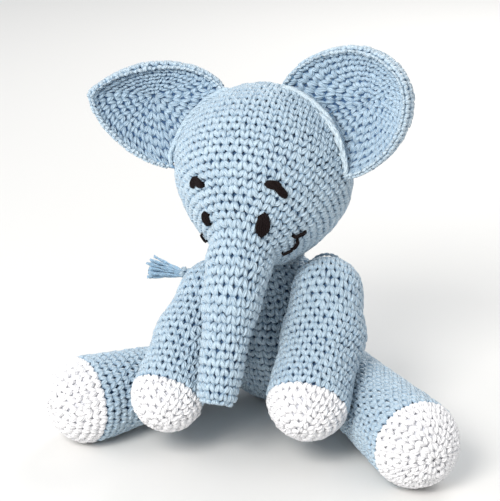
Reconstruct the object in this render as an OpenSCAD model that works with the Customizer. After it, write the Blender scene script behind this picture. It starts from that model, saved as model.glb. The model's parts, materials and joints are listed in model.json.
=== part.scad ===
// Crocheted, stuffed elephant, sitting. Millimetres, +Z up, it faces -Y, and its own left is +X.
// The origin is on the surface that it sits on, at the middle of the seat.
// Limbs, body and trunk are chains of balls joined by cones: each ball is [x, y, z, radius].

/* [Skin] */
// Thickness of the crocheted skin
skin_t = 2.6; // [2.2:0.1:3]
// Gap between parts that move against each other
move_gap = 0.5; // [0.4:0.05:0.6]
// Gap between a skin and the stuffing in it
fill_gap = 0.1; // [0.05:0.05:0.2]

/* [Body] */
// Radius of the body at the belly
belly_r = 32; // [31:0.5:32]
// Radius of the body at the neck
neck_r = 13.5; // [12.5:0.25:13.5]
// Radius of the flat underside that it sits on
seat_r = 12; // [9:0.5:14]

/* [Head] */
// Radius of the head
head_r = 41; // [40:0.5:41.5]
// How far the head leans to the elephant's right
head_lean = 3; // [2:0.5:4]
// Thickness of the yarn ring that closes the neck
neck_yarn_d = 2.2; // [1.6:0.1:2.4]

/* [Trunk] */
// Radius of the trunk where it leaves the face
trunk_root_r = 15.2; // [14.8:0.1:15.4]
// Radius of the trunk at its tip
trunk_tip_r = 7.9; // [7:0.1:8.2]

/* [Ears] */
// Thickness of one crocheted layer of an ear
ear_layer = 2.5; // [2:0.1:3]
// Radius of the hollow that an ear is cupped to
ear_dish_r = 45; // [43:1:50]
// Width of the crocheted edging round an ear
edging_w = 4; // [3:0.25:5]
// How far the edging stands out of each face of an ear
edging_lift = 1.2; // [0.8:0.1:1.6]
// Sweep of both ears towards the face, in degrees
ear_sweep = 23.5; // [20:0.5:26]
// Rise of the right ear, in degrees
ear_right_rise = 38; // [34:1:42]
// Rise of the left ear, in degrees
ear_left_rise = 47; // [43:1:50]
// Gap between the root of an ear and the head
ear_gap = 2; // [1.8:0.1:2.4]

/* [Arms] */
// Radius of an arm where it is sewn to the shoulder
shoulder_r = 8.5; // [8:0.1:8.8]
// Radius of the white hoof of the right arm
hoof_right_r = 15; // [14.5:0.1:15.2]
// Radius of the white hoof of the left arm
hoof_left_r = 16.5; // [16:0.1:16.7]

/* [Legs] */
// Radius of the right leg where it is sewn to the hip
hip_right_r = 14.2; // [13.5:0.1:14.4]
// Radius of the left leg where it is sewn to the hip
hip_left_r = 16.5; // [15.5:0.1:16.6]
// Radius of a leg at its white sole
sole_r = 20; // [19.5:0.1:20.2]
// Thickness of the yarn that gathers and sews a limb's end
limb_yarn_d = 1.6; // [1:0.1:1.7]

/* [Tail] */
// Radius of the tail's stalk
tail_r = 3; // [2.6:0.1:3.3]
// Radius of the yarn tuft at its loose end
tuft_r = 5; // [4:0.25:5.5]

/* [Face] */
// Thickness of the embroidery on the skin
stitch_t = 1.3; // [0.8:0.1:1.6]
// Width of the embroidered right eye
eye_right_w = 4.6; // [4:0.2:6]
// Width of the embroidered left eye
eye_left_w = 5.6; // [4:0.2:6]
// Width of an embroidered brow
line_w = 3.5; // [2.5:0.25:3.75]
// Width of the embroidered mouth line
mouth_w = 2; // [1.5:0.25:3]

/* [Hidden] */
$fn = 64;

// Yarn colours
blue = [0.62, 0.76, 0.87];
white = [0.96, 0.96, 0.96];
dark = [0.14, 0.09, 0.09];
fibre = [0.92, 0.91, 0.88];

// Length of a block or cutter that is larger than the whole toy
far = 400;
// How much a cone is thinner than the balls at its ends, so that it meets them at an edge
seat_in = 0.05;
// Room round the root of a limb or of the tail, inside the body's pocket
pocket_room = limb_yarn_d + 0.8;

neck = [-2, -12, 77.2];
head = [-head_lean, -21, 116];

// Depth of the belly ball that the flat seat cuts away
seat_depth = belly_r - sqrt(belly_r * belly_r - seat_r * seat_r);
body_balls = [
    [0, 2, belly_r - seat_depth, belly_r],
    [-0.6, -4, 55, 19.7],
    [-2, -12, 69, neck_r]
];
trunk_balls = [
    [-3, -54, 87, trunk_root_r],
    [-2.5, -67, 73, 11.8],
    [-3, -84, 38.5, trunk_tip_r]
];
arm_right_balls = [
    [-24.5, -15, 66, shoulder_r],
    [-23.4, -34.4, 63, 12.7],
    [-27, -52, 47, 15.1],
    [-29.5, -78, 30, hoof_right_r]
];
arm_left_balls = [
    [25.5, -12, 69, shoulder_r],
    [28.5, -26, 67, 14.4],
    [30, -36.5, 49.5, 16.2],
    [33.5, -68, 32.5, hoof_left_r]
];
leg_right_balls = [
    [-27, -16, 17.5, hip_right_r],
    [-69, -73, sole_r, sole_r]
];
leg_left_balls = [
    [34, -12, 18, hip_left_r],
    [81, -70, sole_r, sole_r]
];
tail_balls = [
    [-10, 34.3, 22, tail_r + 0.2],
    [-34, 38, 31, tail_r],
    [-52, 32, 41, tail_r],
    [-60, 29.5, 45.5, tail_r]
];
tuft_from = [-64, 28.9, 46.3];
tuft_to = [-79, 26.4, 48.3];

// Ears: outlines as [outwards, up the seam] from the middle of the seam, and where that middle is
ear_right_at = [-33, -20.5, 136.5];
ear_left_at = [23.5, -18, 138.5];
// Each is the root's top, two pulls, the tip, two pulls and the root's bottom.
ear_right_rim = [[-3, 19], [9, 32], [43, 12], [50.5, -17.5], [38, -31], [10, -32.5], [-4, -21]];
ear_left_rim = [[-4, 24], [12, 41], [54, 19], [51.5, -13], [45, -29], [8, -36], [-4, -22]];
// Straight pieces that each of a rim's two curves is drawn with
rim_steps = 32;
ear_heart = [24, -2];
ear_dish_at = [25, -0.78 * ear_dish_r, 0];

// Face embroidery: [angle to the left of straight ahead, angle above level], then the points of
// its line, in mm to the left and up from there
eye_right_at = [-21.2, -13.1];
eye_right_line = [[0, 2.2], [0, -2.2]];
eye_left_at = [18, -13.7];
eye_left_line = [[0.2, 3.3], [-0.2, -3.3]];
brow_right_at = [-27.8, 9];
brow_right_line = [[-2.8, -2.1], [-0.5, 1], [4.1, -0.7]];
brow_left_at = [26.5, 10.5];
brow_left_line = [[-3.9, 2.1], [0.4, 0.8], [3.9, -3.2]];
mouth_right_at = [-41, -32];
mouth_right_line = [[-1.3, 3.6], [0, -3.6], [1.8, -5.6]];
mouth_left_at = [41, -32];
mouth_left_line = [[4.6, 6.1], [1.3, 3.6], [0, -3.6], [-3.9, -7.8]];

// ---- Helpers ----

function place(ball) = [ball[0], ball[1], ball[2]];

// A curve that leaves a towards b, and reaches d from c
function curve(a, b, c, d) = [
    for (i = [0:rim_steps - 1])
        let (t = i / rim_steps, u = 1 - t)
            u * u * u * a + 3 * u * u * t * b + 3 * u * t * t * c + t * t * t * d
];

// An ear's outline: over the top to the tip, back underneath, and straight up the root
function outline_of(rim) = concat(
    curve(rim[0], rim[1], rim[2], rim[3]),
    curve(rim[3], rim[4], rim[5], rim[6]),
    [rim[6]]
);

// The outline drawn in by some width, towards the middle of the ear
function drawn_in(points, width) = [
    for (p = points) p - width * (p - ear_heart) / norm(p - ear_heart)
];

// Turns +Z to point from one place to another
module along(start, end) {
    way = end - start;
    translate(start)
        rotate([0, acos(way[2] / norm(way)), atan2(way[1], way[0])])
            children();
}

// The cone between two balls, which touches both
module joining_cone(a, b, grow) {
    ra = a[3] + grow;
    rb = b[3] + grow;
    span = norm(place(b) - place(a));
    slope = (ra - rb) / span;
    side = sqrt(1 - slope * slope);
    along(place(a), place(b))
        translate([0, 0, ra * slope])
            cylinder(h = span + (rb - ra) * slope, r1 = ra * side - seat_in, r2 = rb * side - seat_in);
}

// A soft, rounded form through a row of balls
module chain(balls, grow = 0) {
    if (len(balls) == 2) {
        straight(balls[0], balls[1], grow);
    } else {
        for (ball = balls)
            translate(place(ball)) sphere(r = ball[3] + grow);
        for (i = [0:len(balls) - 2])
            joining_cone(balls[i], balls[i + 1], grow);
    }
}

// Two balls and the cone between them, turned as one outline
module straight(a, b, grow) {
    ra = a[3] + grow;
    rb = b[3] + grow;
    span = norm(place(b) - place(a));
    slope = (ra - rb) / span;
    side = sqrt(1 - slope * slope);
    along(place(a), place(b))
        rotate_extrude()
            intersection() {
                union() {
                    circle(r = ra);
                    translate([0, span]) circle(r = rb);
                    polygon([
                        [0, ra * slope], [ra * side - seat_in, ra * slope],
                        [rb * side - seat_in, span + rb * slope], [0, span + rb * slope]
                    ]);
                }
                translate([0, -far / 2]) square(far);
            }
}

module root_ball(balls, grow) {
    translate(place(balls[0])) sphere(r = balls[0][3] + grow);
}

// The half of space beyond the last ball's middle, where a limb's yarn changes to white
module beyond_last(balls) {
    last = place(balls[len(balls) - 1]);
    before = place(balls[len(balls) - 2]);
    along(last, 2 * last - before)
        translate([-far / 2, -far / 2, 0]) cube(far);
}

module hollow(balls) {
    difference() {
        chain(balls);
        chain(balls, -skin_t);
    }
}

module sleeve(balls) {
    color(blue)
        difference() {
            hollow(balls);
            beyond_last(balls);
        }
}

module white_end(balls) {
    color(white)
        intersection() {
            hollow(balls);
            beyond_last(balls);
        }
}

module stuffing(balls) {
    color(fibre) chain(balls, -skin_t - fill_gap);
}

// The yarn ring that gathers and sews a limb's end, on the side of its root away from the limb
module root_yarn(balls) {
    reach = balls[0][3] + limb_yarn_d / 2 + 0.4;
    color(blue)
        along(place(balls[0]), place(balls[1]))
            translate([0, 0, -0.6 * reach])
                rotate_extrude() translate([0.8 * reach, 0]) circle(d = limb_yarn_d);
}

// ---- Body ----

// A round pocket for a ball, its poles in line with the middle that it is cut into
module pocket(ball, middle, grow) {
    along(place(ball), place(middle)) sphere(r = ball[3] + grow);
}

// Pockets that the limbs' roots and the tail sit in
module body_pockets(grow) {
    for (arm = [arm_right_balls, arm_left_balls])
        pocket(arm[0], body_balls[1], pocket_room + grow);
    for (leg = [leg_right_balls, leg_left_balls])
        pocket(leg[0], body_balls[0], pocket_room + grow);
    pocket(tail_balls[0], body_balls[0], pocket_room + grow);
}

module body_form(inset) {
    difference() {
        chain(body_balls, -inset);
        body_pockets(inset);
        // flat seat
        translate([-far / 2, -far / 2, inset - far]) cube(far);
    }
}

module body_skin() {
    color(blue)
        difference() {
            body_form(0);
            body_form(skin_t);
        }
}

module body_stuffing() {
    color(fibre) body_form(skin_t + fill_gap);
}

// ---- Head, neck and trunk ----

neck_ring_r = neck_r + neck_yarn_d / 2 + move_gap;
neck_socket_r = neck_ring_r + neck_yarn_d / 2 + move_gap;

module neck_seam() {
    color(blue)
        translate(neck)
            rotate_extrude() translate([neck_ring_r, 0]) circle(d = neck_yarn_d);
}

module head_form(inset) {
    difference() {
        translate(head) sphere(r = head_r - inset);
        translate(neck) sphere(r = neck_socket_r + inset);
        root_ball(trunk_balls, move_gap + inset);
    }
}

module head_skin() {
    color(blue)
        difference() {
            head_form(0);
            head_form(skin_t);
        }
}

module head_stuffing() {
    color(fibre) head_form(skin_t + fill_gap);
}

module trunk_skin() {
    color(blue) hollow(trunk_balls);
}

module trunk_stuffing() {
    stuffing(trunk_balls);
}

// ---- Face embroidery ----

module face_layer() {
    difference() {
        translate(head) sphere(r = head_r + stitch_t);
        translate(head) sphere(r = head_r);
    }
}

// A line of stitches on the face
module embroidery(at, line, width) {
    color(dark)
        intersection() {
            face_layer();
            translate(head)
                rotate([90 - at[1], 0, at[0]])
                    linear_extrude(height = 2 * head_r) thick_line(line, width);
        }
}

module thick_line(line, width) {
    for (point = line)
        translate(point) circle(d = width);
    for (i = [0:len(line) - 2]) {
        way = line[i + 1] - line[i];
        translate(line[i])
            rotate(atan2(way[1], way[0]))
                translate([0, -0.48 * width]) square([norm(way), 0.96 * width]);
    }
}

module eye_right() {
    embroidery(eye_right_at, eye_right_line, eye_right_w);
}

module eye_left() {
    embroidery(eye_left_at, eye_left_line, eye_left_w);
}

module brow_right() {
    embroidery(brow_right_at, brow_right_line, line_w);
}

module brow_left() {
    embroidery(brow_left_at, brow_left_line, line_w);
}

module mouth_right() {
    embroidery(mouth_right_at, mouth_right_line, mouth_w);
}

module mouth_left() {
    embroidery(mouth_left_at, mouth_left_line, mouth_w);
}

// ---- Ears ----

// Puts a right or left ear, drawn with X outwards, Z up its seam and Y to its back, on the head
module on_head(right) {
    difference() {
        translate(right ? ear_right_at : ear_left_at)
            mirror([right ? 1 : 0, 0, 0])
                rotate([0, 0, -ear_sweep])
                    rotate([0, -(right ? ear_right_rise : ear_left_rise), 0])
                        children();
        translate(head) sphere(r = head_r + ear_gap);
    }
}

// A cupped layer between two depths behind the hollow's face
module cupped(front, back) {
    difference() {
        translate(ear_dish_at) sphere(r = ear_dish_r + back);
        translate(ear_dish_at) sphere(r = ear_dish_r + front);
    }
}

module cut_out(outline) {
    rotate([90, 0, 0])
        linear_extrude(height = 1.4 * ear_dish_r, center = true) polygon(outline);
}

module ear_layer_piece(right, front) {
    outline = outline_of(right ? ear_right_rim : ear_left_rim);
    color(blue)
        on_head(right)
            intersection() {
                cupped(front, front + ear_layer);
                cut_out(drawn_in(outline, edging_w));
            }
}

module ear_edging(right) {
    outline = outline_of(right ? ear_right_rim : ear_left_rim);
    color(blue)
        on_head(right)
            difference() {
                intersection() {
                    cupped(-edging_lift, 2 * ear_layer + fill_gap + edging_lift);
                    cut_out(outline);
                }
                cut_out(drawn_in(outline, edging_w - fill_gap));
            }
}

// The whip-stitched yarn along the root of an ear, in front of its front layer
module ear_seam(right) {
    outline = outline_of(right ? ear_right_rim : ear_left_rim);
    color(blue)
        intersection() {
            on_head(right)
                intersection() {
                    cupped(-2, -fill_gap);
                    cut_out(drawn_in(outline, edging_w + fill_gap));
                }
            translate(head) sphere(r = head_r + ear_gap + 2);
        }
}

module ear_right_front() {
    ear_layer_piece(true, 0);
}

module ear_right_back() {
    ear_layer_piece(true, ear_layer + fill_gap);
}

module ear_right_edging() {
    ear_edging(true);
}

module ear_right_seam() {
    ear_seam(true);
}

module ear_left_front() {
    ear_layer_piece(false, 0);
}

module ear_left_back() {
    ear_layer_piece(false, ear_layer + fill_gap);
}

module ear_left_edging() {
    ear_edging(false);
}

module ear_left_seam() {
    ear_seam(false);
}

// ---- Arms ----

module arm_right_sleeve() {
    sleeve(arm_right_balls);
}

module arm_right_hoof() {
    white_end(arm_right_balls);
}

module arm_right_stuffing() {
    stuffing(arm_right_balls);
}

module arm_right_seam() {
    root_yarn(arm_right_balls);
}

module arm_left_sleeve() {
    sleeve(arm_left_balls);
}

module arm_left_hoof() {
    white_end(arm_left_balls);
}

module arm_left_stuffing() {
    stuffing(arm_left_balls);
}

module arm_left_seam() {
    root_yarn(arm_left_balls);
}

// ---- Legs ----

module leg_right_sleeve() {
    sleeve(leg_right_balls);
}

module leg_right_sole() {
    white_end(leg_right_balls);
}

module leg_right_stuffing() {
    stuffing(leg_right_balls);
}

module leg_right_seam() {
    root_yarn(leg_right_balls);
}

module leg_left_sleeve() {
    sleeve(leg_left_balls);
}

module leg_left_sole() {
    white_end(leg_left_balls);
}

module leg_left_stuffing() {
    stuffing(leg_left_balls);
}

module leg_left_seam() {
    root_yarn(leg_left_balls);
}

// ---- Tail ----

module tail_stalk() {
    color(blue) chain(tail_balls);
}

module tail_tuft() {
    color(blue)
        along(tuft_from, tuft_to)
            cylinder(h = norm(tuft_to - tuft_from), r1 = tail_r, r2 = tuft_r);
}

body_skin();
body_stuffing();
neck_seam();
head_skin();
head_stuffing();
trunk_skin();
trunk_stuffing();
eye_right();
eye_left();
brow_right();
brow_left();
mouth_right();
mouth_left();
ear_right_front();
ear_right_back();
ear_right_edging();
ear_right_seam();
ear_left_front();
ear_left_back();
ear_left_edging();
ear_left_seam();
arm_right_sleeve();
arm_right_hoof();
arm_right_stuffing();
arm_right_seam();
arm_left_sleeve();
arm_left_hoof();
arm_left_stuffing();
arm_left_seam();
leg_right_sleeve();
leg_right_sole();
leg_right_stuffing();
leg_right_seam();
leg_left_sleeve();
leg_left_sole();
leg_left_stuffing();
leg_left_seam();
tail_stalk();
tail_tuft();
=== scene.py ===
# %% [markdown]
# # A crocheted elephant
# This toy is worked in rounds of single crochet, stuffed, and sewn together. Every visible part is
# the same thing: a smooth stuffed form, wrapped in rows of small V-shaped stitches of glossy cotton
# yarn. So this script first makes a tool that wraps any form in stitches, and then uses it on the
# head, trunk, body, arms, legs, ears and tail. Working lengths are millimetres, and one function
# turns them into Blender's metres at the end.

# %% Load the frame
import json
import math

import bpy
import numpy as np
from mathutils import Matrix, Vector


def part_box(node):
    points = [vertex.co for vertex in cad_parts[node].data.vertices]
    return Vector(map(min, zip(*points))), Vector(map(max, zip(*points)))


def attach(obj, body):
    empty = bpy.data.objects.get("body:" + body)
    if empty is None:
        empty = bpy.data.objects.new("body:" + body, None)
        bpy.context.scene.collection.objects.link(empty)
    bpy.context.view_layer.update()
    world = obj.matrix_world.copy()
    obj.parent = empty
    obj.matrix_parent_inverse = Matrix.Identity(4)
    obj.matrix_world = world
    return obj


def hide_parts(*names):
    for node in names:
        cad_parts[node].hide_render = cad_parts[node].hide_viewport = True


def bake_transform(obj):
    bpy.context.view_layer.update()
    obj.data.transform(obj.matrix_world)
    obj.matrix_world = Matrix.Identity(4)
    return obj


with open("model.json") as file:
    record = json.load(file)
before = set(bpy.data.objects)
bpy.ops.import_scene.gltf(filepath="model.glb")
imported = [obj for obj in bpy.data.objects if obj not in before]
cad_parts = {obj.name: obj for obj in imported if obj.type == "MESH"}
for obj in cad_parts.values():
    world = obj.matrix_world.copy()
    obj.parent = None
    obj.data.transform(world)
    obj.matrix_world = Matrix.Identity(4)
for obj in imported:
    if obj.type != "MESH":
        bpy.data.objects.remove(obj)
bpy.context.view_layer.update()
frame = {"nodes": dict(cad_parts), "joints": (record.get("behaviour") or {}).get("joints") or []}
MM = 0.001
scene = bpy.context.scene


# %% [markdown]
# ## Camera
# The camera stands in front, to the elephant's left and a little above it, about an arm's length
# away. A long lens keeps the perspective mild, as in a catalogue picture. It aims at a point in the
# middle of the toy, and it is made first so that everything after it can be checked against it.

# %% Camera
VIEW_TURN = math.radians(18)
VIEW_RISE = math.radians(20)
VIEW_DISTANCE = 0.760
AIM = Vector((-0.0136, -0.0064, 0.0748))

camera = bpy.data.objects.new("camera", bpy.data.cameras.new("camera"))
scene.collection.objects.link(camera)
towards_camera = Vector((
    math.sin(VIEW_TURN) * math.cos(VIEW_RISE),
    -math.cos(VIEW_TURN) * math.cos(VIEW_RISE),
    math.sin(VIEW_RISE),
))
camera.location = AIM + VIEW_DISTANCE * towards_camera
camera.rotation_euler = (-towards_camera).to_track_quat("-Z", "Y").to_euler()
camera.data.sensor_fit = "HORIZONTAL"
camera.data.sensor_width = 36
camera.data.lens = 116.4
camera.data.clip_start = 0.01
scene.camera = camera
print("camera at", [round(x, 3) for x in camera.location])


# %% [markdown]
# ## The yarn
# A stitch is 4.4 mm wide and 3.7 mm tall here, chosen to look right on the head, and a strand
# of its yarn is about 2.3 mm thick. These three numbers set the scale of every stitch that follows.

# %% Yarn sizes
STITCH_W = 4.4
ROW_H = 3.7
YARN_R = 1.15
random = np.random.default_rng(7)


# %% [markdown]
# ## Forms
# A stuffed limb is a row of balls that run into each other. Its surface is written as a distance
# field: a formula that gives the distance from any point to the surface, negative inside. Fields are
# chosen over meshes here because two of them can be melted into one with a soft crease, as the trunk
# melts into the face.

# %% Distance fields
def cone_field(first, second):
    """The field of two balls and the cone that joins them."""
    a, b = np.array(first[:3], float), np.array(second[:3], float)
    ra, rb = first[3], second[3]
    way = b - a
    length = np.linalg.norm(way)
    way = way / length
    slope = (ra - rb) / length
    side = math.sqrt(1 - slope * slope)

    def field(p):
        along = (p - a) @ way
        out = np.linalg.norm(p - a - along[..., None] * way, axis=-1)
        share = np.clip(along - out * slope / side, 0, length)
        radius = ra + (rb - ra) * share / length
        return np.hypot(out, along - share) - radius

    return field


def melt(fields, crease):
    """Joins fields into one, with a crease of that softness."""
    def field(p):
        total = fields[0](p)
        for other in fields[1:]:
            value = other(p)
            h = np.clip(0.5 + 0.5 * (value - total) / crease, 0, 1)
            total = value * (1 - h) + total * h - crease * h * (1 - h)
        return total

    return field


def chain_field(balls, crease=6.0):
    return melt([cone_field(a, b) for a, b in zip(balls[:-1], balls[1:])], crease)


# %% [markdown]
# ## Reading sizes from the frame
# The pivots of the joints and the round ends of the limbs come from the imported model: a pivot is
# where a limb is sewn on, and the white end of a limb is half a ball, whose middle and radius a
# least-squares fit finds. The balls in between, and the curves that draw the ears, were chosen one by
# one, so they are written out here.

# %% Balls from the frame
def pivot(joint):
    found = [j for j in frame["joints"] if j["name"] == joint][0]
    return [x / MM for x in found["pos_m"]]


def fitted_ball(node):
    """The ball that a CAD node's outer skin lies on."""
    points = np.array([v.co for v in frame["nodes"][node].data.vertices]) / MM
    for _ in range(3):
        table = np.c_[2 * points, np.ones(len(points))]
        solved = np.linalg.lstsq(table, (points ** 2).sum(1), rcond=None)[0]
        centre = solved[:3]
        away = np.linalg.norm(points - centre, axis=1)
        points = points[away > 0.5 * (away.min() + away.max())]
    return [*centre, float(away.max())]


SEAT_TO_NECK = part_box("body_skin")[1].z / MM
HEAD = fitted_ball("head_skin")
BODY_BALLS = [[0, 2, 29.7, 32], [-0.6, -4, 55, 19.7], [-2, -12, SEAT_TO_NECK - 13.5, 13.5]]
TRUNK_BALLS = [[*pivot("trunk_swing"), 15.2], [-2.5, -67, 73, 11.8], [-3, -84, 38.5, 9.4]]
ARMS = {
    "arm_right": [
        [*pivot("arm_right_raise"), 8.5], [-23.4, -34.4, 63, 13.2], [-27, -52, 47, 15.6],
        [-28.5, -78, 30, fitted_ball("arm_right_hoof")[3] + 1.6],
    ],
    "arm_left": [
        [*pivot("arm_left_raise"), 8.5], [29.5, -26, 66, 15.2], [31.5, -38, 50, 18],
        [33, -67, 32, fitted_ball("arm_left_hoof")[3] + 2.1],
    ],
}
LEGS = {
    "leg_right": [[*pivot("leg_right_spread"), 14.2], fitted_ball("leg_right_sole")],
    "leg_left": [[*pivot("leg_left_spread"), 16.5], fitted_ball("leg_left_sole")],
}
TAIL_BALLS = [[*pivot("tail_swing"), 3.2], [-34, 38, 31, 3], [-52, 32, 41, 3], [-60, 29.5, 45.5, 3]]
print("head", np.round(HEAD, 1), "left sole", np.round(LEGS["leg_left"][-1], 1))


# %% [markdown]
# ## Rounds
# A round of crochet is a ring. To lay rings on a form, a line runs through the middle of it, and from
# each point of the line, rays go out in a plane until they meet the surface. That gives a grid of
# points: rings one way, and lines of growth the other. `Cloth` holds such a grid, measured along
# both ways in real millimetres, and gives the place and the outward direction at any spot of it.

# %% The cloth that stitches lie on
class Cloth:
    def __init__(self, rings, closed=True, flip=False, count=160):
        self.closed = closed
        self.flip = flip
        self.rings = np.array([self.even(r, count) for r in rings])
        ends = self.rings if not closed else np.concatenate([self.rings, self.rings[:, :1]], 1)
        self.around = np.linalg.norm(np.diff(ends, axis=1), axis=2).sum(1)
        step = np.linalg.norm(np.diff(self.rings, axis=0), axis=2).mean(1)
        self.height = np.concatenate([[0], np.cumsum(step)])
        if closed:
            across = np.roll(self.rings, -1, 1) - np.roll(self.rings, 1, 1)
        else:
            across = np.gradient(self.rings, axis=1)
        up = np.gradient(self.rings, axis=0)
        normal = np.cross(across, up) * (-1 if flip else 1)
        self.normals = normal / np.maximum(np.linalg.norm(normal, axis=2, keepdims=True), 1e-9)
        self.count = count

    def even(self, ring, count):
        """The ring's points, spaced evenly along it."""
        whole = np.concatenate([ring, ring[:1]]) if self.closed else ring
        run = np.concatenate([[0], np.cumsum(np.linalg.norm(np.diff(whole, axis=0), axis=1))])
        marks = np.linspace(0, run[-1], count, endpoint=not self.closed)
        return np.stack([np.interp(marks, run, whole[:, i]) for i in range(3)], 1)

    def at(self, share, height):
        """Places and outward directions at shares of the way round and heights up the cloth."""
        k = np.interp(height, self.height, np.arange(len(self.height)))
        k0 = np.clip(k.astype(int), 0, len(self.height) - 2)
        kt = (k - k0)[..., None]
        if self.closed:
            m = (share % 1) * self.count
            m0 = m.astype(int) % self.count
            m1 = (m0 + 1) % self.count
        else:
            m = np.clip(share, 0, 1) * (self.count - 1)
            m0 = np.clip(m.astype(int), 0, self.count - 2)
            m1 = m0 + 1
        mt = (m - np.floor(m))[..., None] if self.closed else (m - m0)[..., None]

        def mixed(grid):
            low = grid[k0, m0] * (1 - mt) + grid[k0, m1] * mt
            high = grid[k0 + 1, m0] * (1 - mt) + grid[k0 + 1, m1] * mt
            return low * (1 - kt) + high * kt

        normal = mixed(self.normals)
        normal /= np.maximum(np.linalg.norm(normal, axis=-1, keepdims=True), 1e-9)
        return mixed(self.rings), normal


def smooth_line(points, steps=16):
    """A smooth curve through some points."""
    p = np.array(points, float)
    p = np.concatenate([[2 * p[0] - p[1]], p, [2 * p[-1] - p[-2]]])
    out = []
    for a, b, c, d in zip(p[:-3], p[1:-2], p[2:-1], p[3:]):
        for t in np.arange(steps) / steps:
            out.append(0.5 * (2 * b + (c - a) * t + (2 * a - 5 * b + 4 * c - d) * t * t
                              + (3 * b - a - 3 * c + d) * t ** 3))
    out.append(p[-2])
    return np.array(out)


def lay_rings(field, line, seam_side, rings=150, rays=180, reach=70):
    """Rings of points where rays from a line through a form meet its surface."""
    run = np.concatenate([[0], np.cumsum(np.linalg.norm(np.diff(line, axis=0), axis=1))])
    # rings crowd towards both ends, where the form closes to a point
    marks = (0.5 - 0.5 * np.cos(np.linspace(0.02, math.pi - 0.02, rings))) * run[-1]
    centres = np.stack([np.interp(marks, run, line[:, i]) for i in range(3)], 1)
    ways = np.gradient(centres, axis=0)
    evened = [np.convolve(np.pad(ways[:, i], 9, "edge"), np.ones(19) / 19, "valid") for i in range(3)]
    ways = np.stack(evened, 1)
    ways /= np.linalg.norm(ways, axis=1, keepdims=True)
    first = np.array(seam_side, float) - (ways @ np.array(seam_side, float))[:, None] * ways
    first /= np.linalg.norm(first, axis=1, keepdims=True)
    second = np.cross(ways, first)
    angles = np.arange(rays) * 2 * math.pi / rays
    rays_out = (first[:, None] * np.cos(angles)[None, :, None]
                + second[:, None] * np.sin(angles)[None, :, None])
    low = np.zeros((rings, rays))
    high = np.full((rings, rays), float(reach))
    for _ in range(20):
        middle = 0.5 * (low + high)
        inside = field(centres[:, None] + rays_out * middle[..., None]) < 0
        low = np.where(inside, middle, low)
        high = np.where(inside, high, middle)
    return centres[:, None] + rays_out * np.maximum(low, 0.15)[..., None]


def limb_line(balls):
    """The line through a limb, from the pole behind its first ball to the pole beyond its last.

    It is a Bezier curve through the balls' middles, so it has no corner for the rounds to bunch at.
    """
    p = [np.array(b[:3], float) for b in balls]
    first = (p[0] - p[1]) / np.linalg.norm(p[0] - p[1])
    last = (p[-1] - p[-2]) / np.linalg.norm(p[-1] - p[-2])
    t = np.linspace(0, 1, 60)[:, None]
    n = len(p) - 1
    middle = sum(math.comb(n, i) * (1 - t) ** (n - i) * t ** i * p[i] for i in range(n + 1))
    return np.concatenate([[p[0] + first * balls[0][3]], middle, [p[-1] + last * balls[-1][3]]])


# %% [markdown]
# ## One stitch
# A single crochet shows two plump strands that lean together like a V. Each strand is a short tube:
# it comes out of the stitch below, swells over the surface, and dives under the next row. The tube
# is modelled once, in stitch units, and `crochet` bends a copy of it onto the cloth for every stitch,
# so strands follow the curve of the toy as real yarn does.

# %% A tube along a path, and the strands of a stitch
def tube(path, radii, flat=0.85, sides=6):
    """A closed tube: points, quads, triangles, and for each point its place across and along."""
    path = np.array(path, float)
    ways = np.gradient(path, axis=0)
    ways /= np.linalg.norm(ways, axis=1, keepdims=True)
    out = np.array([0, 0, 1.0]) - ways[:, 2:3] * ways
    out /= np.linalg.norm(out, axis=1, keepdims=True)
    side = np.cross(ways, out)
    angles = np.arange(sides) * 2 * math.pi / sides
    radii = np.array(radii, float)[:, None, None]
    rings = (path[:, None] + radii * np.cos(angles)[None, :, None] * side[:, None]
             + radii * flat * np.sin(angles)[None, :, None] * out[:, None])
    n = len(path)
    points = np.concatenate([rings.reshape(-1, 3), path[:1], path[-1:]])
    quads = [[i * sides + j, i * sides + (j + 1) % sides,
              (i + 1) * sides + (j + 1) % sides, (i + 1) * sides + j]
             for i in range(n - 1) for j in range(sides)]
    start, end = n * sides, n * sides + 1
    tris = [[start, (j + 1) % sides, j] for j in range(sides)]
    tris += [[end, (n - 1) * sides + j, (n - 1) * sides + (j + 1) % sides] for j in range(sides)]
    run = np.concatenate([[0], np.cumsum(np.linalg.norm(np.diff(path, axis=0), axis=1))])
    across = np.concatenate([np.tile(np.cos(angles), n), [0, 0]])
    along = np.concatenate([np.repeat(run, sides), [0, run[-1]]])
    return points, np.array(quads)[:, ::-1], np.array(tris)[:, ::-1], across, along


def joined(parts):
    """Several tubes as one."""
    points, quads, tris, across, along = [], [], [], [], []
    shift = 0
    for part in parts:
        points.append(part[0])
        quads.append(part[1] + shift)
        tris.append(part[2] + shift)
        across.append(part[3])
        along.append(part[4])
        shift += len(part[0])
    return [np.concatenate(x) for x in (points, quads, tris, across, along)]


def v_stitch():
    """The two strands of a single crochet."""
    strands = []
    for hand in (-1, 1):
        path = [
            (hand * 0.02, -0.64, -3.1), (hand * 0.08, -0.42, -1.75), (hand * 0.18, -0.16, -0.98),
            (hand * 0.29, 0.12, -0.98), (hand * 0.41, 0.40, -1.75), (hand * 0.48, 0.62, -3.1),
        ]
        path = [(x * STITCH_W, y * ROW_H, z) for x, y, z in path]
        strands.append(tube(path, np.array([0.5, 0.90, 1.12, 1.12, 0.90, 0.5]) * YARN_R))
    return joined(strands)


STITCH = v_stitch()
print("one stitch has", len(STITCH[0]), "points")


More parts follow.
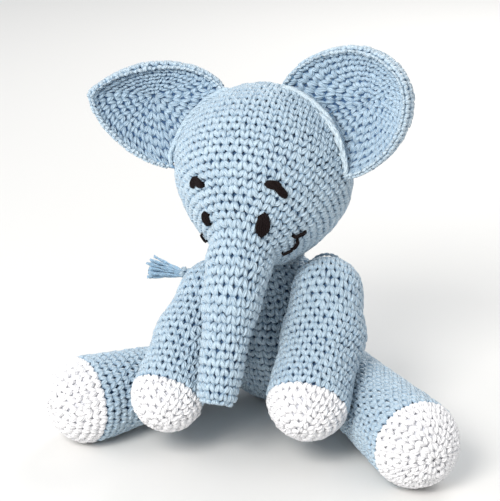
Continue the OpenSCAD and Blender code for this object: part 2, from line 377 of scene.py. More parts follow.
# %% Wrapping a cloth in stitches
class Bundle:
    """Points and faces that grow into one mesh, with what the yarn's finish needs at each point."""

    def __init__(self):
        self.points, self.quads, self.tris, self.strand, self.depth = [], [], [], [], []
        self.size = 0

    def add(self, points, quads, tris, strand, depth):
        self.points.append(points)
        if len(quads):
            self.quads.append(quads + self.size)
        if len(tris):
            self.tris.append(tris + self.size)
        self.strand.append(strand)
        self.depth.append(depth)
        self.size += len(points)


def crochet(bundle, cloth, rows, width=STITCH_W, tall=1.0, drift=0.42, keep=None):
    """Adds rows of stitches at some heights of a cloth. keep says which stitch middles are shown."""
    points, quads, tris, across, along = STITCH
    phase = 0.0
    for height in rows:
        around = np.interp(height, cloth.height, cloth.around)
        count = max(int(round(around / width)), 5 if cloth.closed else 1)
        phase += drift
        shares = (np.arange(count) + 0.5 * (not cloth.closed) + (phase % 1 if cloth.closed else 0)) / count
        if keep is not None:
            shown = keep(cloth.at(shares, np.full(count, height))[0])
            shares = shares[shown]
        n = len(shares)
        if n == 0:
            continue
        jitter = random.normal(0, 1, (5, n))
        turn = 0.14 * jitter[0][:, None]
        grown = 1 + 0.06 * jitter[1][:, None]
        x, y, z = points[:, 0], points[:, 1] * tall, points[:, 2]
        xs = (x * np.cos(turn) - y * np.sin(turn)) * grown + 0.12 * jitter[2][:, None]
        ys = (x * np.sin(turn) + y * np.cos(turn)) * grown + 0.10 * jitter[3][:, None]
        lift = z + 0.16 * jitter[4][:, None]
        scale = around / count / STITCH_W
        share = shares[:, None] + xs * scale / around
        place, normal = cloth.at(share, height + ys)
        placed = (place + normal * lift[..., None]).reshape(-1, 3)
        m = len(points)
        shift = (np.arange(n) * m)[:, None, None]
        turned = -1 if cloth.flip else 1
        chance = np.repeat(random.random(n), m)
        strand = np.stack([np.tile(across, n), np.tile(along, n), chance], 1)
        # How high each point lies in its stitch: the yarn finish paints the lower points in painted shade.
        depth = np.tile((z - z.min()) / (z.max() - z.min()), n)
        all_quads = (quads[None, :, ::turned] + shift).reshape(-1, 4)
        all_tris = (tris[None, :, ::turned] + shift).reshape(-1, 3)
        bundle.add(placed, all_quads, all_tris, strand, depth)


def skin(bundle, grid, flip=False):
    """Adds a closed skin over a grid of rings, with both ends closed to a point."""
    rows, around = grid.shape[0] - 1, grid.shape[1]
    points = np.concatenate([grid.reshape(-1, 3), [grid[0].mean(0), grid[-1].mean(0)]])
    i, j = np.meshgrid(np.arange(rows), np.arange(around), indexing="ij")
    a = i * around + j
    b = i * around + (j + 1) % around
    quads = np.stack([a, b, b + around, a + around], -1).reshape(-1, 4)
    js = np.arange(around)
    first, last = (rows + 1) * around, (rows + 1) * around + 1
    bottom = np.stack([np.full(around, first), (js + 1) % around, js], 1)
    top = np.stack([np.full(around, last), rows * around + js, rows * around + (js + 1) % around], 1)
    tris = np.concatenate([bottom, top])
    turned = -1 if flip else 1
    # Depth -1 on every point: a yarn finish paints the whole skin in its darkest painted shade colour, unless
    # the caller sets its own depth.
    strand, depth = np.zeros((len(points), 3)), np.full(len(points), -1.0)
    bundle.add(points, quads[:, ::turned], tris[:, ::turned], strand, depth)


def inset_skin(bundle, cloth, low, high, inset, step=2.6, around=64):
    """Adds the inside layer that shows between stitches: a closed skin, inset from the cloth. A yarn
    finish paints it in its darkest painted shade colour, so it is a sheet of painted shade.
    """
    rows = max(int((high - low) / step), 2)
    heights = np.linspace(low, high, rows + 1)
    shares = np.arange(around) / around
    place, normal = cloth.at(np.tile(shares, (rows + 1, 1)), np.tile(heights[:, None], (1, around)))
    skin(bundle, place - normal * inset, cloth.flip)


def lay_strand(bundle, path, radii, sides=6, depth=1.0):
    """Adds one loose strand of yarn along a path, anywhere in space."""
    path = np.array(path, float)
    n = len(path)
    ways = np.gradient(path, axis=0)
    ways /= np.linalg.norm(ways, axis=1, keepdims=True)
    out = np.cross(ways[0], [0.31, 0.52, 0.79])
    outs = []
    for way in ways:
        out = out - way * (out @ way)
        out = out / np.linalg.norm(out)
        outs.append(out)
    outs = np.array(outs)
    sidewise = np.cross(ways, outs)
    angles = np.arange(sides) * 2 * math.pi / sides
    radii = (np.ones(n) * radii)[:, None, None]
    grid = path[:, None] + radii * (
        np.cos(angles)[None, :, None] * outs[:, None] + np.sin(angles)[None, :, None] * sidewise[:, None]
    )
    run = np.concatenate([[0], np.cumsum(np.linalg.norm(np.diff(path, axis=0), axis=1))])
    skin(bundle, grid)
    across = np.concatenate([np.tile(np.cos(angles), n), [0, 0]])
    along = np.concatenate([np.repeat(run, sides), [0, run[-1]]])
    bundle.strand[-1] = np.stack([across, along, np.full(len(across), random.random())], 1)
    # The strand takes the lit colour along its length, and its two end points half painted shade.
    bundle.depth[-1] = np.concatenate([np.repeat(np.ones(n) * depth, sides), [0.5, 0.5]])


def twisted_ring(bundle, centre, axis, radius, yarn_r):
    """Adds a ring of yarn whose two plies twist round each other."""
    axis = np.array(axis, float) / np.linalg.norm(axis)
    first = np.cross(axis, [0.3, 0.9, 0.2])
    first /= np.linalg.norm(first)
    second = np.cross(axis, first)
    twists = round(2 * math.pi * radius / 5)
    angle = np.linspace(0, 2 * math.pi, 16 * twists)[:, None]
    radial = np.cos(angle) * first + np.sin(angle) * second
    for ply in (0, math.pi):
        swing = twists * angle + ply
        path = centre + radial * (radius + 0.45 * yarn_r * np.cos(swing))
        path = path + axis * 0.45 * yarn_r * np.sin(swing)
        lay_strand(bundle, path, 0.55 * yarn_r)


# %% From bundle to Blender mesh
def to_mesh(name, bundle, material):
    """One Blender object from a bundle. What lies on the ground is pressed flat there."""
    points = np.concatenate(bundle.points)
    points[:, 2] = np.maximum(points[:, 2], 0.02)
    quads = np.concatenate(bundle.quads) if bundle.quads else np.zeros((0, 4), int)
    tris = np.concatenate(bundle.tris) if bundle.tris else np.zeros((0, 3), int)
    mesh = bpy.data.meshes.new(name)
    mesh.vertices.add(len(points))
    mesh.vertices.foreach_set("co", (points * MM).astype(np.float32).ravel())
    mesh.loops.add(quads.size + tris.size)
    mesh.loops.foreach_set("vertex_index", np.concatenate([quads.ravel(), tris.ravel()]).astype(np.int32))
    starts = np.concatenate([np.arange(len(quads)) * 4, quads.size + np.arange(len(tris)) * 3])
    mesh.polygons.add(len(starts))
    mesh.polygons.foreach_set("loop_start", starts.astype(np.int32))
    mesh.polygons.foreach_set("use_smooth", np.ones(len(starts), bool))
    mesh.update(calc_edges=True)
    strand = mesh.attributes.new("strand", "FLOAT_VECTOR", "POINT")
    strand.data.foreach_set("vector", np.concatenate(bundle.strand).astype(np.float32).ravel())
    depth = mesh.attributes.new("depth", "FLOAT", "POINT")
    depth.data.foreach_set("value", np.concatenate(bundle.depth).astype(np.float32))
    mesh.materials.append(material)
    piece = bpy.data.objects.new(name, mesh)
    scene.collection.objects.link(piece)
    print(f"{name}: {len(quads) * 2 + len(tris)} triangles")
    return piece


# %% [markdown]
# ## Shader maths
# A finish is a sum of simple ideas: this much painted shade in the gaps, a little lighter on some strands.
# `Value` lets those ideas be written as plain sums, and adds the Math nodes itself.

# %% Writing shader maths as sums
class Value:
    def __init__(self, finish, socket):
        self.finish, self.socket = finish, socket

    def maths(self, operation, first, second=None):
        inputs = {0: first} if second is None else {0: first, 1: second}
        return self.finish.value("ShaderNodeMath", {"operation": operation}, inputs)

    def __add__(self, other):
        return self.maths("ADD", self, other)

    __radd__ = __add__

    def __mul__(self, other):
        return self.maths("MULTIPLY", self, other)

    __rmul__ = __mul__

    def __sub__(self, other):
        return self.maths("SUBTRACT", self, other)

    def __rsub__(self, other):
        return self.maths("SUBTRACT", other, self)

    def sine(self):
        return self.maths("SINE", self)

    def within(self):
        """The value, held between 0 and 1."""
        return self.finish.value("ShaderNodeClamp", {}, {0: self})


class Finish:
    """A material that is being made."""

    def __init__(self, name, plain):
        self.material = bpy.data.materials.new(name)
        self.material.use_nodes = True
        self.material.diffuse_color = (*plain, 1)
        self.tree = self.material.node_tree
        self.surface = self.tree.nodes["Principled BSDF"]
        self.surface.inputs["Base Color"].default_value = (*plain, 1)

    def node(self, kind, settings, inputs):
        made = self.tree.nodes.new(kind)
        for key, setting in settings.items():
            setattr(made, key, setting)
        for key, given in inputs.items():
            self.feed(made.inputs[key], given)
        return made

    def feed(self, socket, given):
        if isinstance(given, Value):
            self.tree.links.new(given.socket, socket)
        else:
            socket.default_value = given

    def value(self, kind, settings, inputs, output=0):
        return Value(self, self.node(kind, settings, inputs).outputs[output])

    def mix(self, share, first, second):
        """A colour between two colours."""
        made = self.node("ShaderNodeMix", {"data_type": "RGBA"}, {})
        self.feed(made.inputs[0], share)
        self.feed(made.inputs[6], first)
        self.feed(made.inputs[7], second)
        return Value(self, made.outputs[2])

    def shade(self, key, given):
        self.feed(self.surface.inputs[key], given)


# %% [markdown]
# ## Finish of the yarn
# Mercerised cotton is smooth and silky: strands catch a soft highlight, and a fine diagonal twist
# runs over them. Down between the stitches almost no light gets in, and the finish paints that shade
# into the colour. Each point of a strand knows how deep it lies, so the finish paints it darker by
# depth: the lit colour on top, a painted shade colour lower down, and the darkest painted shade in the
# gaps. The twist comes from where the point lies across and along its strand, and adds faint painted
# streaks of light and shade to the colour.

# %% Yarn finish
# A finish takes three colours: the yarn's lit colour, a painted shade colour for the low parts of strands,
# and the darkest painted shade, for the gaps between stitches.
def yarn_finish(name, light, dark, gap_shade, gloss=0.36, sheen=0.3, shine=0.45):
    finish = Finish(name, light)
    strand = finish.value("ShaderNodeAttribute", {"attribute_name": "strand"}, {}, "Vector")
    depth = finish.value("ShaderNodeAttribute", {"attribute_name": "depth"}, {}, "Fac")
    parts = finish.node("ShaderNodeSeparateXYZ", {}, {0: strand})
    across, along, chance = (Value(finish, parts.outputs[i]) for i in range(3))
    where = finish.value("ShaderNodeTexCoord", {}, {}, "Object")
    fuzz = finish.value("ShaderNodeTexNoise", {}, {"Vector": where, "Scale": 2600.0, "Detail": 3.0})
    mottle = finish.value("ShaderNodeTexNoise", {}, {"Vector": where, "Scale": 60.0, "Detail": 2.0})
    twist = (along * 1.9 + across * 6.5 + chance * 6.0).sine()
    # Painted shade by depth: the tops of strands get the lit colour and their low parts the shade colour,
    # with random variation from chance, mottle and fuzz, and faint painted streaks along the twist.
    high = (depth * 1.5 - 0.42).within()
    shade_and_tone = (high + twist * 0.12 + (chance - 0.5) * 0.22 + (mottle - 0.5) * 0.3 + (fuzz - 0.5) * 0.25).within()
    lit = finish.mix(shade_and_tone, (*dark, 1), (*light, 1))
    # Painted shade in the gaps: points with depth -1 take the darkest painted shade colour.
    gap = (1 - (depth + 1).within()).within()
    finish.shade("Base Color", finish.mix(gap, lit, (*gap_shade, 1)))
    finish.shade("Roughness", (gloss + (fuzz - 0.5) * 0.2 + gap * 0.4).within())
    bump = finish.node(
        "ShaderNodeBump", {}, {"Strength": 0.7, "Distance": 0.0005, "Height": twist * 0.5 + fuzz * 0.6}
    )
    finish.shade("Normal", Value(finish, bump.outputs[0]))
    finish.surface.inputs["Sheen Weight"].default_value = sheen
    finish.surface.inputs["Sheen Roughness"].default_value = 0.4
    finish.surface.inputs["Specular IOR Level"].default_value = shine
    return finish.material


BLUE = yarn_finish("blue_cotton", (0.49, 0.62, 0.72), (0.12, 0.25, 0.41), (0.045, 0.11, 0.22))
# A paler copy of the blue yarn for the ear edging: painted light where the rim catches the light.
LIT_RIM = yarn_finish("lit_rim_cotton", (0.55, 0.67, 0.76), (0.14, 0.29, 0.46), (0.03, 0.07, 0.15))
# A darker copy of the blue yarn for the hollow fronts of the ears: painted shade.
SHADED_INNER = yarn_finish("shaded_ear_cotton", (0.44, 0.58, 0.70), (0.10, 0.23, 0.40), (0.04, 0.10, 0.21))
WHITE = yarn_finish("white_cotton", (0.97, 0.96, 0.97), (0.90, 0.90, 0.93), (0.80, 0.81, 0.86))
DARK = yarn_finish(
    "dark_thread", (0.011, 0.006, 0.006), (0.005, 0.003, 0.003), (0.003, 0.002, 0.002),
    gloss=0.62, sheen=0.0, shine=0.12,
)
# A paler copy of the blue yarn for the left ear's sewing: painted light on the lit ear.
LIT_SEWING = yarn_finish("lit_sewing_cotton", (0.60, 0.71, 0.78), (0.24, 0.38, 0.52), (0.05, 0.10, 0.2))
TUFT = yarn_finish("tuft_cotton", (0.38, 0.57, 0.74), (0.16, 0.32, 0.50), (0.045, 0.11, 0.22))


# %% [markdown]
# ## Stuffing
# Polyester fibre is pushed into every skin until it is firm. It lies in soft lumps, so its form is
# the skin's form, drawn in and a little uneven. It is matt and nearly white.

# %% Stuffing finish and form
def fibre_finish():
    finish = Finish("fibre", (0.85, 0.84, 0.80))
    where = finish.value("ShaderNodeTexCoord", {}, {}, "Object")
    wisps = finish.value(
        "ShaderNodeTexNoise", {}, {"Vector": where, "Scale": 900.0, "Detail": 6.0, "Distortion": 1.5}
    )
    finish.shade("Base Color", finish.mix(wisps, (0.70, 0.69, 0.66, 1), (0.93, 0.92, 0.90, 1)))
    finish.shade("Roughness", 0.8 + wisps * 0.15)
    bump = finish.node("ShaderNodeBump", {}, {"Strength": 0.8, "Distance": 0.0008, "Height": wisps})
    finish.shade("Normal", Value(finish, bump.outputs[0]))
    return finish.material


FIBRE = fibre_finish()
FILL_INSET = 4.2


def stuffing(name, cloth, body, node, low=0.0, high=None):
    """The fibre in one skin, as a closed uneven form."""
    bundle = Bundle()
    top = cloth.height[-1] if high is None else high
    inset_skin(bundle, cloth, low + 2.0, top - 2.0, FILL_INSET, step=3.0, around=40)
    points = bundle.points[0]
    waves = random.normal(0, 0.35, (6, 3))
    starts = random.random(6) * 2 * math.pi
    lumps = np.sin(points @ waves.T + starts).mean(1) * 0.8
    middle = points.mean(0)
    out = points - middle
    points += out / np.maximum(np.linalg.norm(out, axis=1, keepdims=True), 1) * (lumps - 0.4)[:, None]
    piece = to_mesh(name, bundle, FIBRE)
    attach(piece, body)
    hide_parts(node)
    return piece


def finished(piece, body, nodes=()):
    """Says what a piece rides on and what it stands for."""
    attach(piece, body)
    if nodes:
        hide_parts(*nodes)
    return piece


# %% [markdown]
# ## Head and trunk
# The head starts at a ring of stitches at the back of its crown and grows in rounds over the face.
# There the rounds get smaller and run on down the trunk, so the two are one skin. They are made as
# one cloth, melted together where the trunk leaves the face, and only then shared out into a head
# piece and a trunk piece.

# %% Head and trunk cloth
head_middle = np.array(HEAD[:3])
trunk_root = np.array(TRUNK_BALLS[0][:3])
face_way = (trunk_root - head_middle) / np.linalg.norm(trunk_root - head_middle)
crown = head_middle - face_way * HEAD[3]
tip_way = np.array(TRUNK_BALLS[-1][:3]) - np.array(TRUNK_BALLS[-2][:3])
tip_way /= np.linalg.norm(tip_way)


def head_field(p):
    """A ball that is a little taller at the crown, with cheeks that narrow towards the trunk."""
    away = p - head_middle
    low = np.clip(away @ face_way / HEAD[3], 0, 1)
    sized = np.stack([
        away[..., 0] * (1 + 0.17 * low + 0.15 * low ** 2), away[..., 1],
        away[..., 2] * np.where(away[..., 2] > 0, 0.955, 1.0)
    ], -1)
    return np.linalg.norm(sized, axis=-1) - HEAD[3]


TIP_LENGTH = 6.5
tip_middle = np.array(TRUNK_BALLS[-1][:3])


def trunk_field(p, chain=chain_field(TRUNK_BALLS, 6.0)):
    """The trunk, whose tip is closed flat instead of round."""
    return np.maximum(chain(p), (p - tip_middle) @ tip_way - TIP_LENGTH)


head_trunk_field = melt([head_field, trunk_field], 6.0)
trunk_line = smooth_line([head_middle, trunk_root, TRUNK_BALLS[1][:3], TRUNK_BALLS[2][:3]])
face_line = np.concatenate([[crown], trunk_line, [tip_middle + tip_way * TIP_LENGTH]])
face_cloth = Cloth(lay_rings(head_trunk_field, face_line, (0, 1, -0.6), rings=220), count=200)
face_rows = np.arange(0.5 * ROW_H, face_cloth.height[-1], ROW_H)
root_height = np.interp(
    0, ((face_cloth.rings.mean(1) - trunk_root) @ face_way), face_cloth.height
)
body_field = chain_field(BODY_BALLS)
print("rounds of head and trunk:", len(face_rows), "widest", round(float(face_cloth.around.max() / STITCH_W)))


# %% Head and trunk pieces
HIDDEN_DEPTH = -2.5


def outside(*fields):
    """Keeps the stitches that no other form hides."""
    return lambda p: np.all([f(p) > HIDDEN_DEPTH for f in fields], axis=0)


split = face_rows[face_rows < root_height - 1.0].max() + 0.5 * ROW_H
bundle = Bundle()
crochet(bundle, face_cloth, face_rows[face_rows < split], keep=outside(body_field))
inset_skin(bundle, face_cloth, 0.0, split, 2.2, around=96)
finished(to_mesh("head_crochet", bundle, BLUE), "head", ["head_skin"])

bundle = Bundle()
crochet(bundle, face_cloth, face_rows[face_rows > split])
inset_skin(bundle, face_cloth, split, face_cloth.height[-1], 2.2, around=48)
trunk_crochet = to_mesh("trunk_crochet", bundle, BLUE)
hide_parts("trunk_skin")
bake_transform(trunk_crochet)
stuffing("head_fill", face_cloth, "head", "head_stuffing", high=split)
stuffing("trunk_fill", face_cloth, "trunk", "trunk_stuffing", low=split)


# %% [markdown]
# ## Body
# The body is a pear, worked upward in level rounds. It sits on a flattened bottom, and most of it is
# hidden by the arms, legs and trunk. Stitches that lie inside a limb are left out.

# %% Body
arm_fields = {name: chain_field(balls) for name, balls in ARMS.items()}
leg_fields = {name: chain_field(balls) for name, balls in LEGS.items()}
body_line = limb_line(BODY_BALLS)
body_rings = lay_rings(body_field, body_line, (0, 1, 0))
body_rings[..., 2] = np.maximum(body_rings[..., 2], 0.6)
body_cloth = Cloth(body_rings)
limb_fields = [*arm_fields.values(), *leg_fields.values()]
bundle = Bundle()
body_rows = np.arange(0.5 * ROW_H, body_cloth.height[-1], ROW_H)
crochet(bundle, body_cloth, body_rows, keep=outside(head_field, *limb_fields))
inset_skin(bundle, body_cloth, 0.0, body_cloth.height[-1], 2.2)
finished(to_mesh("body_crochet", bundle, BLUE), "torso", ["body_skin"])
stuffing("body_fill", body_cloth, "torso", "body_stuffing")


# %% [markdown]
# ## Arms and legs
# Each limb starts with a white end, changes to blue at the widest ring of its last ball, and narrows
# towards its root. One function makes all four: the rows up to the colour change are one piece, and
# the rest are the other.

# %% Limbs
def limb(name, balls, end_name, fields, past_middle=0.0):
    cloth = Cloth(lay_rings(chain_field(balls), limb_line(balls), (0, 0, 1)))
    last = np.array(balls[-1][:3])
    way = last - np.array(balls[-2][:3])
    way /= np.linalg.norm(way)
    change = np.interp(past_middle, (cloth.rings.mean(1) - last) @ way, cloth.height)
    top = cloth.height[-1]
    white_rows = top - np.arange(0.4 * ROW_H, top - change, ROW_H)[::-1]
    border = white_rows.min() - 0.5 * ROW_H
    blue_rows = np.arange(border - 0.5 * ROW_H, 2.0, -ROW_H)[::-1]
    bundle = Bundle()
    crochet(bundle, cloth, blue_rows, keep=outside(*fields))
    inset_skin(bundle, cloth, 0.0, border, 2.2, around=48)
    finished(to_mesh(f"{name}_crochet", bundle, BLUE), name, [f"{name}_sleeve"])
    bundle = Bundle()
    crochet(bundle, cloth, white_rows)
    inset_skin(bundle, cloth, border, top, 2.0, around=48)
    white_end = to_mesh(f"{name}_{end_name}_crochet", bundle, WHITE)
    finished(white_end, name, [f"{name}_{end_name}"])
    stuffing(f"{name}_fill", cloth, name, f"{name}_stuffing")


for name, balls in ARMS.items():
    limb(name, balls, "hoof", [body_field, head_field], past_middle=4.5 if name == "arm_left" else 1.5)
for name, balls in LEGS.items():
    limb(name, balls, "sole", [body_field])


# %% [markdown]
# ## Yarn at the roots
# Where a limb meets the body, its last round is drawn tight and sewn down with the same yarn. The
# neck is closed the same way. Each is a ring of two plies that twist round each other.

# %% Gathering yarn
def root_yarn(name, balls):
    root, after = np.array(balls[0][:3], float), np.array(balls[1][:3], float)
    way = (after - root) / np.linalg.norm(after - root)
    reach = balls[0][3] + 1.2
    bundle = Bundle()
    twisted_ring(bundle, root - 0.6 * reach * way, way, 0.8 * reach, 0.8)
    finished(to_mesh(f"{name}_yarn", bundle, BLUE), name, [f"{name}_seam"])


for name, balls in [*ARMS.items(), *LEGS.items()]:
    root_yarn(name, balls)
bundle = Bundle()
twisted_ring(bundle, np.array(pivot("head_turn")), (0, 0, 1), 15.1, 1.1)
finished(to_mesh("neck_yarn", bundle, BLUE), "neck", ["neck_seam"])


# %% [markdown]
# ## Ears
# An ear is two round crocheted layers, cupped like a shallow dish, with a row of stitches round the
# edge that joins them. Its rounds grow from a heart near the middle. So the grid of an ear is polar:
# rings that grow from the heart to the outline, laid on a sphere. Front and back layers lie on two
# spheres with one middle, and the whole ear is then turned to its place on the head.

# %% Ear pattern
DISH_R = 45.0
DISH = np.array([25, -0.78 * DISH_R, 0])
HEART = np.array([24.0, -2.0])
LAYERS = 5.1
EARS = {
    "ear_right": {
        "at": (-33, -20.5, 136.5), "rise": 38, "hand": -1, "root": 5.0,
        "rim": [(-3, 19), (9, 32), (43, 12), (50.5, -17.5), (38, -31), (10, -32.5), (-4, -21)],
    },
    "ear_left": {
        "at": (23.5, -18, 138.5), "rise": 47, "hand": 1, "root": 9.0,
        "rim": [(-4, 24), (12, 41), (54, 19), (51.5, -13), (45, -29), (8, -36), (-4, -22)],
    },
}
EAR_SWEEP = math.radians(23.5)


def on_head(ear, points):
    """Turns points of the ear's own pattern to where the ear is sewn on."""
    rise = math.radians(ear["rise"])
    x, y, z = points[..., 0], points[..., 1], points[..., 2]
    out = x * math.cos(rise) - z * math.sin(rise)
    up = x * math.sin(rise) + z * math.cos(rise)
    side = out * math.cos(EAR_SWEEP) + y * math.sin(EAR_SWEEP)
    back = y * math.cos(EAR_SWEEP) - out * math.sin(EAR_SWEEP)
    return np.stack([ear["hand"] * side, back, up], -1) + np.array(ear["at"], float)


def dished(flat, behind):
    """Lays pattern points (outwards, up) on the dish, some depth behind its hollow face."""
    x, z = flat[..., 0], flat[..., 1]
    y = DISH[1] + np.sqrt((DISH_R + behind) ** 2 - (x - DISH[0]) ** 2 - z ** 2)
    return np.stack([x, y, z], -1)


def curve(a, b, c, d):
    """A curve that leaves a towards b, and reaches d from c."""
    t = np.linspace(0, 1, 65)[:, None]
    return (1 - t) ** 3 * a + 3 * (1 - t) ** 2 * t * b + 3 * (1 - t) * t * t * c + t ** 3 * d


def ear_outline(ear, drawn_in=0.0, count=160):
    """The outline of an ear, evenly spaced, drawn in towards its heart."""
    rim = np.array(ear["rim"], float)
    ring = np.concatenate([curve(*rim[:4]), curve(*rim[3:])[1:], rim[:1]])
    run = np.concatenate([[0], np.cumsum(np.linalg.norm(np.diff(ring, axis=0), axis=1))])
    marks = np.linspace(0, run[-1], count, endpoint=False)
    ring = np.stack([np.interp(marks, run, ring[:, i]) for i in range(2)], 1)[::-1]
    away = ring - HEART
    return ring - drawn_in * away / np.linalg.norm(away, axis=1, keepdims=True)


def clear_of_head(points, gap):
    """Pushes points that would be in the head out to its surface."""
    away = points - head_middle
    far = np.linalg.norm(away, axis=-1, keepdims=True)
    return head_middle + away * np.maximum(1, (HEAD[3] + gap) / far)


def off_head(gap):
    return lambda p: np.linalg.norm(p - head_middle, axis=-1) > HEAD[3] + gap


def root_swell(height):
    """How much of the root's full reach an ear has at a height: all at its middle, none at its ends."""
    return np.clip(1 - (height / 25) ** 2, 0, 1)


def with_root(ring, ear):
    """Pulls the root side of a rim on towards the face, where it lies flat on the head."""
    near_root = np.clip((4 - ring[:, :1]) / 8, 0, 1) * root_swell(ring[:, 1:])
    return ring - near_root * np.array([ear["root"], 0.0])


# %% Ear layers, edging and sewing yarn
def ear_layer(name, ear, front):
    """One round layer of an ear, worked from its heart."""
    behind = 0.0 if front else LAYERS
    rim = ear_outline(ear, 2.5)
    if front:
        rim = with_root(rim, ear)
    shares = np.linspace(0.03, 1, 40)[:, None, None]
    rings = on_head(ear, dished(HEART + shares * (rim - HEART), behind))
    if front:
        rings = clear_of_head(rings, 1.6)
    cloth = Cloth(rings, flip=front == (ear["hand"] > 0))
    bundle = Bundle()
    pitch = 3.2
    rows = np.arange(0.45 * pitch, cloth.height[-1] - 0.3 * pitch, pitch)
    crochet(bundle, cloth, rows, width=3.9, tall=pitch / ROW_H, keep=off_head(1.2))
    near, far = (1.3, 2.3) if front else (LAYERS - 2.3, LAYERS - 1.3)
    shares = np.linspace(0.03, 0.97, 9)[:, None, None]
    flat = HEART + shares * (rim[::3] - HEART)
    grid = np.concatenate([on_head(ear, dished(flat, near)), on_head(ear, dished(flat[::-1], far))])
    # A closed skin inside the ear, in the darkest painted shade where it shows between stitches.
    skin(bundle, clear_of_head(grid, 0.3), flip=ear["hand"] > 0)
    side = "front" if front else "back"
    # The front layer takes the darker copy of the blue yarn, painted shade; the back takes the blue yarn.
    layer = to_mesh(f"{name}_{side}_crochet", bundle, SHADED_INNER if front else BLUE)
    finished(layer, name, [f"{name}_{side}"])


def ear_edge(name, ear):
    """The row of stitches that goes over the rim and joins the two layers."""
    rim, inner = ear_outline(ear, 2.6), ear_outline(ear, 4.6)
    middle = on_head(ear, dished(rim, LAYERS / 2))
    outward = middle - on_head(ear, dished(inner, LAYERS / 2))
    outward /= np.linalg.norm(outward, axis=1, keepdims=True)
    back = on_head(ear, dished(rim, LAYERS)) - on_head(ear, dished(rim, 0.0))
    back /= np.linalg.norm(back, axis=1, keepdims=True)

    def around(reach, thick, angles):
        return np.array([middle + reach * math.cos(a) * outward + thick * math.sin(a) * back for a in angles])

    cloth = Cloth(around(2.9, 4.3, np.linspace(-2.1, 2.1, 17)), flip=ear["hand"] > 0)
    bundle = Bundle()
    rows = cloth.height[-1] * np.array([0.13, 0.38, 0.62, 0.87])
    crochet(bundle, cloth, rows, width=4.3, keep=off_head(0.6), drift=0.5)
    shell = around(1.2, 2.3, np.linspace(0, 2 * math.pi, 9)[:-1]).transpose(1, 0, 2)
    clear = off_head(2.6)(shell).all(axis=1)
    start = int(np.argmax(~clear & np.roll(clear, -1)))
    shell = np.roll(shell, -start - 1, axis=0)[:int(clear.sum())]
    # A skin under the edging, in the darkest painted shade where it shows between stitches.
    skin(bundle, shell, flip=ear["hand"] < 0)
    # The edging takes the paler copy of the blue yarn: painted light.
    finished(to_mesh(f"{name}_edge_crochet", bundle, LIT_RIM), name, [f"{name}_edging"])


def ear_sewing(name, ear):
    """Long slanting strands along the root of an ear, where it is sewn to the head."""
    heights = np.linspace(-18, 19, 60)
    inward = np.stack([-1.5 - ear["root"] * root_swell(heights), heights], 1)
    root = clear_of_head(on_head(ear, dished(inward, 0.0)), 1.6)
    across = clear_of_head(on_head(ear, dished(inward + (2, 0), 0.0)), 1.6) - root
    across /= np.linalg.norm(across, axis=1, keepdims=True)
    out = (root - head_middle) / np.linalg.norm(root - head_middle, axis=1, keepdims=True)
    bundle = Bundle()
    for start in np.arange(-2, 49, 6.5):
        k = np.clip(start + random.normal() + np.linspace(0, 19, 9), 0, 59)
        place = np.stack([np.interp(k, np.arange(60), root[:, i]) for i in range(3)], 1)
        sideways = np.stack([np.interp(k, np.arange(60), across[:, i]) for i in range(3)], 1)
        lift = np.stack([np.interp(k, np.arange(60), out[:, i]) for i in range(3)], 1)
        t = np.linspace(0, 1, 9)[:, None]
        path = place + sideways * (1.3 - 2.4 * t + 0.35 * random.normal())
        path = path + lift * (1.6 * np.sin(math.pi * t) - 1.2)
        lay_strand(bundle, path, YARN_R * np.array([0.7, 0.95, 1, 1, 1, 1, 1, 0.95, 0.7]))
    # The left ear's sewing takes the paler copy of the blue yarn, painted light; the right ear's the blue
    # yarn.
    sewing = to_mesh(f"{name}_sewing_yarn", bundle, LIT_SEWING if ear["hand"] > 0 else BLUE)
    finished(sewing, name, [f"{name}_seam"])


for name, ear in EARS.items():
    ear_layer(name, ear, front=True)
    ear_layer(name, ear, front=False)
    ear_edge(name, ear)
    ear_sewing(name, ear)


# %% [markdown]
# ## Face
# Eyes, brows and mouth are satin stitches: strands of dark thread laid side by side over the skin,
# each one going down into it at both ends. The strands follow the skin, so they are found by looking
# out from the middle of the head until the surface is met.

# %% Satin stitches
def on_face(turn, rise, offsets):
    """Points of the face at some offsets (to its left, up) from a direction, with the way outwards."""
    turn, rise = math.radians(turn), math.radians(rise)
    ahead = np.array([math.sin(turn) * math.cos(rise), -math.cos(turn) * math.cos(rise), math.sin(rise)])
    left = np.array([math.cos(turn), math.sin(turn), 0])
    up = np.array([-math.sin(turn) * math.sin(rise), math.cos(turn) * math.sin(rise), math.cos(rise)])
    offsets = np.array(offsets, float)
    ways = HEAD[3] * ahead + offsets[:, :1] * left + offsets[:, 1:] * up
    ways /= np.linalg.norm(ways, axis=1, keepdims=True)
    low, high = np.full(len(ways), 20.0), np.full(len(ways), 60.0)
    for _ in range(20):
        middle = 0.5 * (low + high)
        inside = head_trunk_field(head_middle + ways * middle[:, None]) < 0
        low, high = np.where(inside, middle, low), np.where(inside, high, middle)
    return head_middle + ways * low[:, None], ways


def satin(bundle, turn, rise, start, end, width, strands, thread=0.62):
    """Strands side by side from start to end, longest in the middle."""
    start, end = np.array(start, float), np.array(end, float)
    way = (end - start) / np.linalg.norm(end - start)
    across = np.array([-way[1], way[0]])
    t = np.linspace(0, 1, 9)[:, None]
    for k in range(strands):
        side = (k + 0.5) / strands * 2 - 1
        short = 0.22 * side * side * np.linalg.norm(end - start) + 0.15 * random.random()
        first, last = start + way * short, end - way * short
        bow = 1 - 0.12 * np.cos(2 * math.pi * t)
        line = first + (last - first) * t + across * side * (width / 2 - thread) * bow
        place, out = on_face(turn, rise, line)
        lift = np.minimum(1, 2.4 * np.sin(math.pi * t) ** 0.7) * 1.5 - 0.8 + 0.15 * random.random()
        lay_strand(bundle, place + out * lift, thread * np.array([0.8, 1, 1, 1, 1, 1, 1, 1, 0.8]))


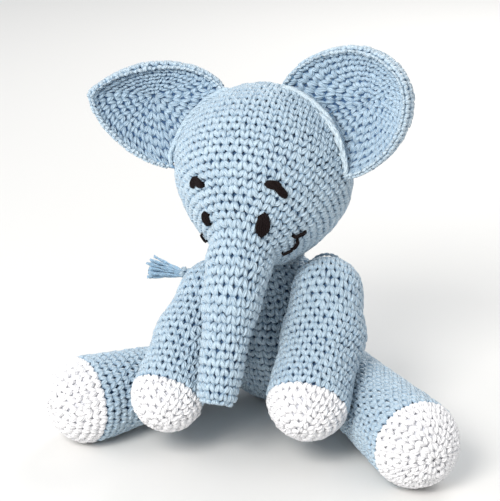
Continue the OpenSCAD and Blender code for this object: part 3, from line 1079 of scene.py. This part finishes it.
FACE = {
    "eye_right": [(-21.2, -13.6, (0, 4.0), (0, -4.0), 5.2, 6)],
    "eye_left": [(18, -13.7, (0.4, 6.4), (-0.5, -6.4), 6.8, 7)],
    "brow_right": [
        (-27.8, 9, (-4.4, -3.4), (-0.6, 2.4), 4.4, 4),
        (-27.8, 9, (-3.0, 1.6), (4.0, -1.0), 4.6, 5),
    ],
    "brow_left": [
        (26.5, 10.5, (-5.4, 2.4), (2.2, 0.9), 4.4, 5),
        (26.5, 10.5, (-0.9, 1.8), (4.8, -4.8), 4.2, 5),
    ],
    "mouth_right": [(-37, -36, (-0.6, 3.2), (0.2, -2.4), 1.6, 2)],
    "mouth_left": [
        (41, -32, (7.2, 5.3), (-0.4, 3.4), 3.0, 3), (41, -32, (3.4, 0.6), (2.0, -5.8), 2.4, 3),
        (41, -32, (2.2, -5.4), (-3.6, -8.2), 2.0, 2),
    ],
}
for name, groups in FACE.items():
    bundle = Bundle()
    for group in groups:
        satin(bundle, *group)
    finished(to_mesh(f"{name}_satin", bundle, DARK), "head", [name])


# %% [markdown]
# ## Tail
# The tail is a narrow crocheted tube that holds itself up, and ends in a tuft of cut yarn. Each
# strand of the tuft is its own twist of two plies, and they spread a little as they leave the tube.

# %% Tail
tail_rings = lay_rings(
    chain_field(TAIL_BALLS, 2.0), limb_line(TAIL_BALLS), (0, 0, 1), rays=60, reach=12
)
tail_cloth = Cloth(tail_rings, count=60)
bundle = Bundle()
crochet(bundle, tail_cloth, np.arange(1.0, tail_cloth.height[-1], ROW_H))
inset_skin(bundle, tail_cloth, 0.0, tail_cloth.height[-1], 1.6, around=16)
finished(to_mesh("tail_crochet", bundle, BLUE), "tail", ["tail_stalk"])

tuft_start, tuft_end = np.array([-58.5, 30.0, 44.3]), np.array([-79, 26.4, 47.4])
tuft_way = (tuft_end - tuft_start) / np.linalg.norm(tuft_end - tuft_start)
tuft_up = np.cross(tuft_way, (0, 1, 0))
tuft_side = np.cross(tuft_way, tuft_up)
bundle = Bundle()
t = np.linspace(0, 1, 14)[:, None]
for k in range(16):
    angle, spread = k * 2.4, 6.4 * math.sqrt((k + 0.5) / 16)
    radial = math.cos(angle) * tuft_up + math.sin(angle) * tuft_side * 0.8
    long = np.linalg.norm(tuft_end - tuft_start) * (0.86 + 0.14 * random.random())
    core = tuft_start + tuft_way * long * t + radial * (1.2 + (spread - 0.6) * t ** 1.3)
    swing = 9 * t + angle
    for ply in (0, math.pi):
        twist = 0.38 * (np.cos(swing + ply) * tuft_up + np.sin(swing + ply) * tuft_side)
        lay_strand(bundle, core + twist, 0.52)
finished(to_mesh("tail_tuft_yarn", bundle, TUFT), "tail", ["tail_tuft"])


# %% [markdown]
# ## Floor and light
# The toy sits on a plain pale floor, in soft daylight: a large window-like light from above and the
# side, a weaker one from the other side, and a bright sky that fills the shadows.

# %% Floor
mesh = bpy.data.meshes.new("floor")
edge = 3.0
mesh.from_pydata([(-edge, -edge, 0), (edge, -edge, 0), (edge, edge, 0), (-edge, edge, 0)], [], [(0, 1, 2, 3)])
floor = bpy.data.objects.new("floor", mesh)
scene.collection.objects.link(floor)
ground = Finish("floor", (0.82, 0.81, 0.79))
ground.surface.inputs["Roughness"].default_value = 0.7
mesh.materials.append(ground.material)


# %% Light
def lamp(name, place, power, size, colour):
    data = bpy.data.lights.new(name, "AREA")
    data.energy = power
    data.size = size
    data.color = colour
    made = bpy.data.objects.new(name, data)
    made.location = place
    made.rotation_euler = (AIM - Vector(place)).to_track_quat("-Z", "Y").to_euler()
    scene.collection.objects.link(made)


lamp("key", (-0.2, -1.0, 0.85), 12.6, 0.5, (1.0, 0.98, 0.95))
lamp("fill", (-0.9, -0.5, 0.6), 2.6, 0.8, (0.95, 0.97, 1.0))
lamp("rim", (0.1, 0.9, 0.7), 5, 0.6, (1.0, 0.98, 0.95))
world = bpy.data.worlds.new("sky")
world.use_nodes = True
world.node_tree.nodes["Background"].inputs[0].default_value = (0.93, 0.96, 1.0, 1)
world.node_tree.nodes["Background"].inputs[1].default_value = 0.6
scene.world = world
scene.view_settings.view_transform = "Standard"
